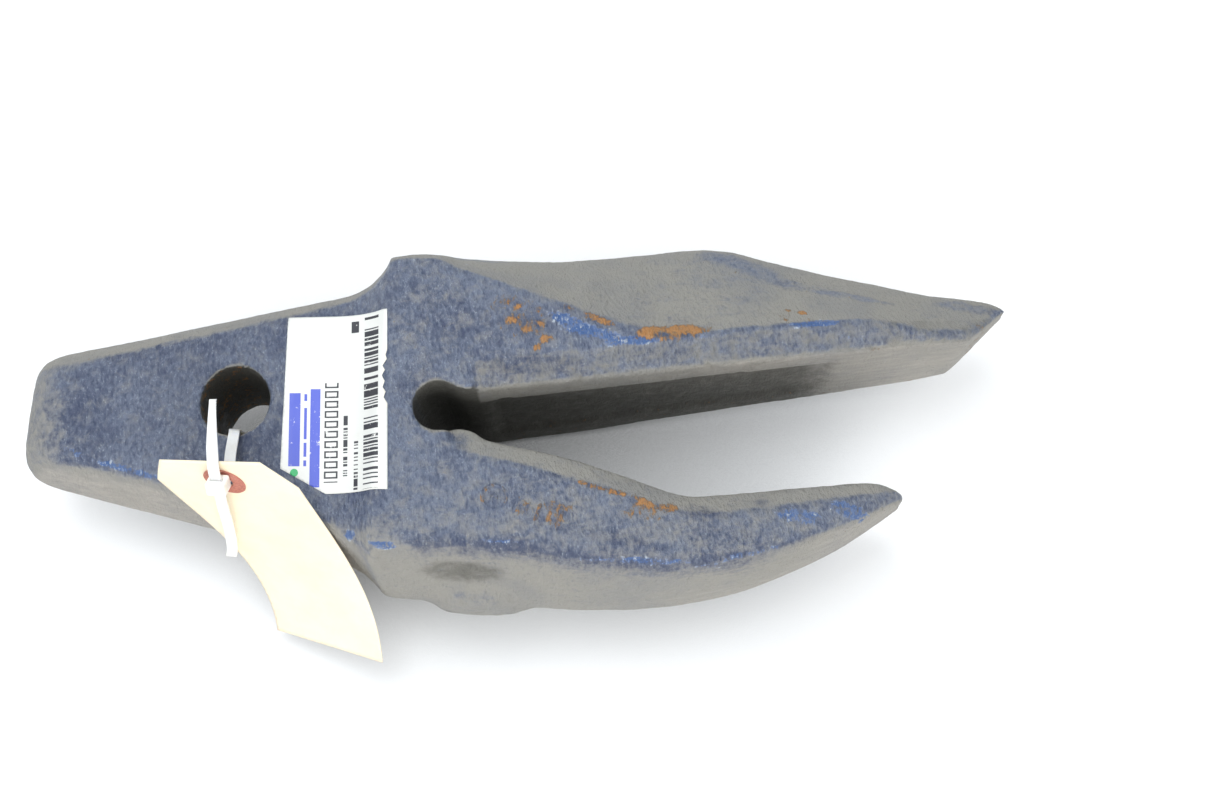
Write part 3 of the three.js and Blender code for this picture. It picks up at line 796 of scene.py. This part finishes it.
def makeMouldMark(skin, material):
    facts = mouldMark
    angle = math.radians(facts["turn"])
    along = Vector((math.cos(angle), math.sin(angle)))
    aside = Vector((-along.y, along.x))
    centre = Vector(facts["centre"])
    points, faces = [], []
    for radius, sides in ((facts["ringRadius"], 40), (facts["dotRadius"], 14)):
        ring = [centre + radius * (along * math.cos(t) + aside * math.sin(t)) for t in fullTurn(sides)]
        raisedLine(skin, ring, True, points, faces)
    for bar in range(facts["bars"]):
        middle = centre + along * (facts["ringRadius"] + 4.5 + facts["barStep"] * bar)
        half = facts["barHalf"] * (1.0 if bar % 2 == 0 else 0.6)
        raisedLine(skin, [middle + aside * (half * s / 5) for s in range(-5, 6)], False, points, faces)
    piece = pieceOf("mouldMark", points, faces, material)
    faceOutwards(piece)
    count = len(piece.data.vertices)
    for name, value in (("dust", 0.22), ("grimeAndShade", 0.0), ("fresh", 0.0), ("chip", 0.30)):
        keepMark(piece.data, name, np.full(count, value))
    keepMark(piece.data, "rust", [0.62 if v.co.x > 0.046 else 0.42 for v in piece.data.vertices])
    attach(piece, "casting")


noseFacts = {"origin": (-9.4, 24.5), "angle": 9.0}
labelFacts = {                 # millimetres in from the shoulder-side edge, and along the label
    "corners": [(0.0, -39.0), (28.6, -39.0), (49.1, -27.6), (46.9, 43.0), (0.0, 43.0)],
    "tear": [(0.0, 24.0), (0.7, 21.5), (0.2, 19.5), (2.0, 16.5), (1.0, 14.4), (2.3, 12.0), (1.1, 9.4),
             (2.0, 6.6), (0.7, 4.6), (1.6, 2.0), (0.0, -0.6)],
    "lift": 0.00030,
    "thickness": 0.00016,
    "cell": 1.4,               # spacing of the points inside the outline
}


def labelPoint(across, along, z):            # the label lies slightly askew on the nose
    return nosePoint(across - 1.2 - 5.7 * (44.0 - along) / 84.0, along, z)


def nosePoint(u, v, z):
    angle = math.radians(noseFacts["angle"])
    x = noseFacts["origin"][0] - u * math.cos(angle) + v * math.sin(angle)
    y = noseFacts["origin"][1] + u * math.sin(angle) + v * math.cos(angle)
    return Vector((x * mm, y * mm, midHeight + z * mm))


def filledOutline(loops, cell):
    points, edges = [], []
    for loop in loops:
        start = len(points)
        for i, p in enumerate(loop):
            points.append(Vector(p))
            edges.append((start + i, start + (i + 1) % len(loop)))
    xs = [p[0] for p in loops[0]]
    ys = [p[1] for p in loops[0]]
    for row in range(int((max(ys) - min(ys)) / cell) + 1):
        for column in range(int((max(xs) - min(xs)) / cell) + 1):
            shift = 0.5 * cell * (row % 2)
            points.append(Vector((min(xs) + shift + column * cell, min(ys) + row * cell)))
    flat, _, faces, *_ = delaunay_2d_cdt(points, edges, [], 1, 1e-5)
    return flat, faces


def steppedLoop(corners, step):
    loop = []
    for a, b in zip(corners, [*corners[1:], corners[0]]):
        parts = max(1, round(math.dist(a, b) / step))
        for k in range(parts):
            loop.append((a[0] + (b[0] - a[0]) * k / parts, a[1] + (b[1] - a[1]) * k / parts))
    return loop


def thicken(piece, thickness, offset):
    wall = piece.modifiers.new("wall", "SOLIDIFY")
    wall.thickness = thickness
    wall.offset = offset
    wall.use_even_offset = True
    bakeModifiers(piece)


def makeLabel(skin, material):
    facts = labelFacts
    corners = [*facts["corners"], *facts["tear"]]
    flat, faces = filledOutline([steppedLoop(corners, facts["cell"])], facts["cell"])
    points, torn = [], []
    for p in flat:
        above = labelPoint(p.x, p.y, 60.0)
        hits = []
        for du, dv in ((0, 0), (0.8, 0), (-0.8, 0), (0, 0.8), (0, -0.8)):
            spot = above + Vector((du * mm, dv * mm, 0))
            hits.append(skin.ray_cast(spot, Vector((0, 0, -1))))
        height = sum(h[0].z for h in hits) / len(hits)
        normal = hits[0][1] if hits[0][1].z > 0 else -hits[0][1]
        edge = min(47.0 - p.x, p.y + 39.0, 43.0 - p.y)
        tearWay = math.hypot(p.x / 4.0, (p.y - 11.0) / 15.0)
        curl = 0.0004 * max(0.0, 1.0 - tearWay) + 0.00015 * max(0.0, 1.0 - edge / 2.5)
        ripple = 0.00006 * noise.noise(Vector((p.x * 0.16, p.y * 0.12, 2.0)))
        points.append(Vector((above.x, above.y, height)) + normal * (facts["lift"] + curl + ripple))
        torn.append(max(0.0, 1.0 - max(0.0, p.x - 1.4) / 1.8) * (1.0 if -3 < p.y < 26 else 0.0))
    piece = pieceOf("stockLabel", points, faces, material)
    layer = piece.data.uv_layers.new(name="labelPlace")
    for corner in piece.data.loops:
        p = flat[corner.vertex_index]
        layer.data[corner.index].uv = (p.x / 100.0, (p.y + 50.0) / 100.0)
    keepMark(piece.data, "torn", torn)
    if piece.data.polygons[0].normal.z < 0:
        piece.data.flip_normals()
    thicken(piece, facts["thickness"], 1.0)
    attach(piece, "casting")
    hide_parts("part_label")
    print("label:", len(piece.data.polygons), "faces")


tagFacts = {
    "leftEdge": [(-113, 11, 55), (-101, -6.5, 22), (-74, -22, -10), (-77, -54, -38)],
    "rightEdge": [(-49, -2.5, 67), (-40, -25, 35), (-22, -47, 10), (-26, -79, -15)],
    "width": 60.3,
    "length": 120.7,
    "thickness": 0.36,
    "hole": 6.4,
    "eyelet": 13.0,
    "clipLength": 15.0,
    "clipWidth": 9.5,
    "cell": 2.2,
}
patchFacts = {"outer": 8.0, "inner": 3.2, "gap": 0.18, "thickness": 0.34}


def bezier(points, t):
    level = [Vector(p) for p in points]
    while len(level) > 1:
        level = [a.lerp(b, t) for a, b in zip(level, level[1:])]
    return level[0]


def tagPoint(x, y, lift=0.0):                # millimetres on the card, from its left top corner
    def at(s, t):
        return bezier(tagFacts["leftEdge"], t).lerp(bezier(tagFacts["rightEdge"], t), s)

    across, along, step = x / tagFacts["width"], y / tagFacts["length"], 1e-3
    way = at(across, along + step) - at(across, along - step)
    normal = way.cross(at(across + step, along) - at(across - step, along)).normalized()
    spot = (at(across, along) + normal * lift) * mm
    return spot + Vector((0, 0, midHeight))


def makeTag(material):
    facts = tagFacts
    width, length = facts["width"], facts["length"]
    corners = [(facts["clipWidth"], 0), (width - facts["clipWidth"], 0), (width, facts["clipLength"]),
               (width, length), (0, length), (0, facts["clipLength"])]
    radius = facts["hole"] / 2
    middle = (width / 2, facts["eyelet"])
    hole = [(middle[0] + radius * math.cos(t), middle[1] + radius * math.sin(t)) for t in fullTurn(32)]
    flat, faces = filledOutline([steppedLoop(corners, facts["cell"]), hole], facts["cell"])
    kept = []
    for face in faces:
        centre = sum((flat[i] for i in face), Vector((0, 0))) / len(face)
        if math.dist(centre, middle) > radius * 0.985:
            kept.append(face)
    points = [tagPoint(p.x, p.y, 0.12 * noise.noise(Vector((p.x * 0.05, p.y * 0.04, 5.0)))) for p in flat]
    piece = pieceOf("hangTag", points, kept, material)
    layer = piece.data.uv_layers.new(name="cardPlace")
    for corner in piece.data.loops:
        p = flat[corner.vertex_index]
        layer.data[corner.index].uv = (p.x / length, p.y / length)
    work = bmesh.new()
    work.from_mesh(piece.data)
    bmesh.ops.delete(work, geom=[v for v in work.verts if not v.link_faces], context="VERTS")
    work.to_mesh(piece.data)
    work.free()
    thicken(piece, facts["thickness"] * mm, 0.0)
    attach(piece, "tag")
    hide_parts("hang_tag")
    print("tag:", len(piece.data.polygons), "faces")


def makePatch(name, node, side, material):
    facts = patchFacts
    low = tagFacts["thickness"] / 2 + facts["gap"]
    high = low + facts["thickness"]
    inner, outer = facts["inner"], facts["outer"]
    profile = [(inner, low), (inner, high - 0.1), (inner + 0.25, high), (inner + 1.2, high - 0.05)]
    profile += [(outer - 1.2, high - 0.05), (outer - 0.3, high), (outer, high - 0.14), (outer, low)]
    turns = 64
    points, faces = [], []
    for angle in fullTurn(turns):
        cos, sin = math.cos(angle), math.sin(angle)
        wobble = 0.07 * noise.noise(Vector((cos * 3, sin * 3, side * 9.0)))     # on the outer edge only
        for r, lift in profile:
            reach = r + (wobble if r > 5 else 0)
            x = tagFacts["width"] / 2 + reach * cos
            y = tagFacts["eyelet"] + reach * sin
            points.append(tagPoint(x, y, side * lift))
    size = len(profile)
    for k in range(turns):
        a, b = k * size, ((k + 1) % turns) * size
        for j in range(size):
            after = (j + 1) % size
            faces.append((a + j, a + after, b + after, b + j))
    piece = pieceOf(name, points, faces, material)
    faceOutwards(piece)
    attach(piece, "tag")
    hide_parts(node)


tieFacts = {
    "width": 5.0,
    "thickness": 1.25,
    "edge": 0.32,               # rounding of the strap's edges
    "toothStep": 1.15,
    "toothHeight": 0.28,
    "tailTip": 0.56,            # width of the tail's end as a share of the strap
    "across": (0.97, -0.22, 0.1),
    "headPlace": (-79, -5.5, 56.5),
    "headSize": (8.6, 6.4, 7.6),
    "slotSize": (5.6, 2.1),
    "loop": [                   # from the card's eyelet, down the bore and back up to the head
        (-75.6, 12, 43.5), (-75, 22, 37.5), (-76, 25.6, 31), (-75, 26.2, 15), (-74.4, 26.2, -15),
        (-74.6, 26, -30), (-75, 23.5, -36), (-76.3, 14, -38), (-79.3, 1.5, -37.6), (-82.4, -8.5, -32.5),
        (-85, -14.5, -22.5), (-87.2, -16.6, -13), (-89, -21.4, -6), (-87.4, -24, 2), (-84.6, -22.8, 12),
        (-81, -17.6, 33), (-79.6, -11, 49), (-79, -5.5, 56.5)],
    "tail": [(-79, -5.5, 56.5), (-79.2, -0.6, 61.5), (-78.6, 8, 64.6), (-77.6, 20, 66),
             (-76.8, 29.5, 66.2)],
}


def groupInput(tree, name, kind, value):
    socket = tree.interface.new_socket(name, in_out="INPUT", socket_type=kind)
    if value is not None:
        socket.default_value = value
    return socket.identifier


def strapTree():                              # a flat strap along a curve, with ratchet teeth on one face
    tree = bpy.data.node_groups.new("ratchetStrap", "GeometryNodeTree")
    tree.is_modifier = True
    tree.interface.new_socket("Path", in_out="INPUT", socket_type="NodeSocketGeometry")
    ids = {}
    sizes = {"Width": 0.005, "Thickness": 0.00125, "Edge": 0.0003, "Step": 0.0006,
             "Tooth step": 0.00115, "Tooth height": 0.00028}
    for name, value in sizes.items():
        ids[name] = groupInput(tree, name, "NodeSocketFloat", value)
    ids["Across"] = groupInput(tree, "Across", "NodeSocketVector", None)
    ids["Finish"] = groupInput(tree, "Finish", "NodeSocketMaterial", None)
    tree.interface.new_socket("Strap", in_out="OUTPUT", socket_type="NodeSocketGeometry")
    given = tree.nodes.new("NodeGroupInput").outputs

    def step(kind, wiring, **settings):
        made = tree.nodes.new(kind)
        for name, value in settings.items():
            setattr(made, name, value)
        for name, value in wiring.items():
            plug(tree, value, made.inputs[name])
        return made.outputs[0]

    line = step("GeometryNodeResampleCurve", {"Curve": given["Path"], "Length": given["Step"]},
                mode="LENGTH")
    line = step("GeometryNodeSetCurveNormal", {"Curve": line, "Normal": given["Across"]}, mode="FREE")
    section = step("GeometryNodeCurvePrimitiveQuadrilateral",
                   {"Width": given["Width"], "Height": given["Thickness"]})
    section = step("GeometryNodeFilletCurve", {"Curve": section, "Radius": given["Edge"], "Count": 3},
                   mode="POLY")
    body = step("GeometryNodeCurveToMesh",
                {"Curve": line, "Profile Curve": section, "Fill Caps": True,
                 "Scale": step("GeometryNodeInputRadius", {})})

    spots = step("GeometryNodeCurveToPoints", {"Curve": line, "Length": given["Tooth step"]},
                 mode="LENGTH")
    size = step("ShaderNodeCombineXYZ",
                {"X": times(tree, given["Width"], 0.62), "Y": given["Tooth height"],
                 "Z": times(tree, given["Tooth step"], 0.55)})
    tooth = step("GeometryNodeMeshCube", {"Size": size})
    lift = step("ShaderNodeCombineXYZ", {"Y": times(tree, given["Thickness"], 0.5)})
    tooth = step("GeometryNodeTransform", {"Geometry": tooth, "Translation": lift})
    teeth = step("GeometryNodeInstanceOnPoints",
                 {"Points": spots, "Instance": tooth, "Rotation": spots.node.outputs["Rotation"]})

    whole = tree.nodes.new("GeometryNodeJoinGeometry")
    for part in (teeth, body):
        tree.links.new(part, whole.inputs["Geometry"])
    strap = step("GeometryNodeRealizeInstances", {"Geometry": whole.outputs["Geometry"]})
    strap = step("GeometryNodeSetMaterial", {"Geometry": strap, "Material": given["Finish"]})
    tree.links.new(strap, tree.nodes.new("NodeGroupOutput").inputs["Strap"])
    return tree, ids


def strapAlong(name, route, widths, tree, ids, material):
    facts = tieFacts
    path = smoothPath(route, 110)
    data = bpy.data.curves.new(name, "CURVE")
    data.dimensions = "3D"
    spline = data.splines.new("POLY")
    spline.points.add(len(path) - 1)
    for i, (point, place) in enumerate(zip(spline.points, path)):
        point.co = (place.x * mm, place.y * mm, place.z * mm + midHeight, 1.0)
        point.radius = widths(i / (len(path) - 1))
    strand = addObject(name, data)
    grow = strand.modifiers.new("ratchetStrap", "NODES")
    grow.node_group = tree
    values = {"Width": facts["width"] * mm, "Thickness": facts["thickness"] * mm,
              "Edge": facts["edge"] * mm, "Across": facts["across"], "Finish": material,
              "Tooth step": facts["toothStep"] * mm, "Tooth height": facts["toothHeight"] * mm}
    for socket, value in values.items():
        grow[ids[socket]] = value
    made = builtMesh(strand)
    bpy.data.objects.remove(strand)
    return made


def headMesh(place, across, slotWay):
    wide, tall, deep = (size / 2 for size in tieFacts["headSize"])
    slotWide, slotDeep = (size / 2 for size in tieFacts["slotSize"])
    work = bmesh.new()
    rings = []
    for w, d in ((wide, deep), (slotWide, slotDeep)):
        for h in (-tall, tall):
            corners = ((-1, -1), (1, -1), (1, 1), (-1, 1))
            rings.append([work.verts.new((x * w, h, z * d)) for x, z in corners])
    outerLow, outerHigh, innerLow, innerHigh = rings
    for i in range(4):
        j = (i + 1) % 4
        work.faces.new((outerLow[i], outerLow[j], outerHigh[j], outerHigh[i]))
        work.faces.new((innerLow[i], innerHigh[i], innerHigh[j], innerLow[j]))
        work.faces.new((outerLow[j], outerLow[i], innerLow[i], innerLow[j]))
        work.faces.new((outerHigh[i], outerHigh[j], innerHigh[j], innerHigh[i]))
    outer = set(outerLow) | set(outerHigh)
    outerEdges = [e for e in work.edges if e.verts[0] in outer and e.verts[1] in outer]
    bmesh.ops.bevel(work, geom=outerEdges, offset=0.9, segments=4, profile=0.5, affect="EDGES")
    bmesh.ops.recalc_face_normals(work, faces=work.faces)
    depthWay = across.cross(slotWay)
    turn = Matrix((across, slotWay, depthWay)).transposed().to_4x4()
    seat = Matrix.Translation(place * mm + Vector((0, 0, midHeight)))
    work.transform(seat @ turn @ Matrix.Scale(mm, 4))
    made = bpy.data.meshes.new("tieHead")
    work.to_mesh(made)
    work.free()
    return made


def makeTie(material):
    facts = tieFacts
    tree, ids = strapTree()
    eyelet = [tagPoint(tagFacts["width"] / 2, tagFacts["eyelet"], lift) for lift in (4, 0, -4)]
    through = [(p.x / mm, p.y / mm, (p.z - midHeight) / mm) for p in eyelet]
    route = [facts["headPlace"], *through, *facts["loop"]]
    loop = strapAlong("tieLoop", route, lambda t: 1.0, tree, ids, material)
    tip = facts["tailTip"]
    tail = strapAlong("tieTail", facts["tail"], lambda t: 1.0 - (1.0 - tip) * max(0.0, (t - 0.45) / 0.55),
                      tree, ids, material)
    across = Vector(facts["across"]).normalized()
    way = Vector((-0.1, 0.62, 0.78))
    slotWay = (way - across * way.dot(across)).normalized()
    head = headMesh(Vector(facts["headPlace"]), across, slotWay)
    work = bmesh.new()
    for part in (loop, tail, head):
        work.from_mesh(part)
    bmesh.ops.remove_doubles(work, verts=work.verts, dist=1e-6)
    whole = bpy.data.meshes.new("cableTie")
    work.to_mesh(whole)
    work.free()
    whole.materials.append(material)
    whole.polygons.foreach_set("material_index", [0] * len(whole.polygons))
    piece = addObject("cableTie", whole)
    whole.polygons.foreach_set("use_smooth", [False] * len(whole.polygons))
    crisp = piece.modifiers.new("softEdges", "BEVEL")
    crisp.width = 0.08 * mm
    crisp.segments = 1
    bakeModifiers(piece)
    piece.data.polygons.foreach_set("use_smooth", [True] * len(piece.data.polygons))
    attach(piece, "tie")
    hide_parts("cable_tie")
    print("tie:", len(piece.data.polygons), "faces")


def makeTable():
    half = studio["tableSize"] / 2
    corners = [(-half, -half, 0.0), (half, -half, 0.0), (half, half, 0.0), (-half, half, 0.0)]
    table = pieceOf("paleTable", corners, [(0, 1, 2, 3)], tableTop(), smooth=False)


placeCamera()
lightStudio()
makeTable()
print("camera, light and table are in place")
paint = castPaint()
castSkin = makeCasting(paint)
makeMouldMark(castSkin, paint)
makeLabel(castSkin, labelPaper())
makeTag(tagCard())
redFibre = patchFibre()
makePatch("patchFront", "tag_patch_front", 1, redFibre)
makePatch("patchBack", "tag_patch_back", -1, redFibre)
makeTie(tieNylon())

print("all pieces are made")
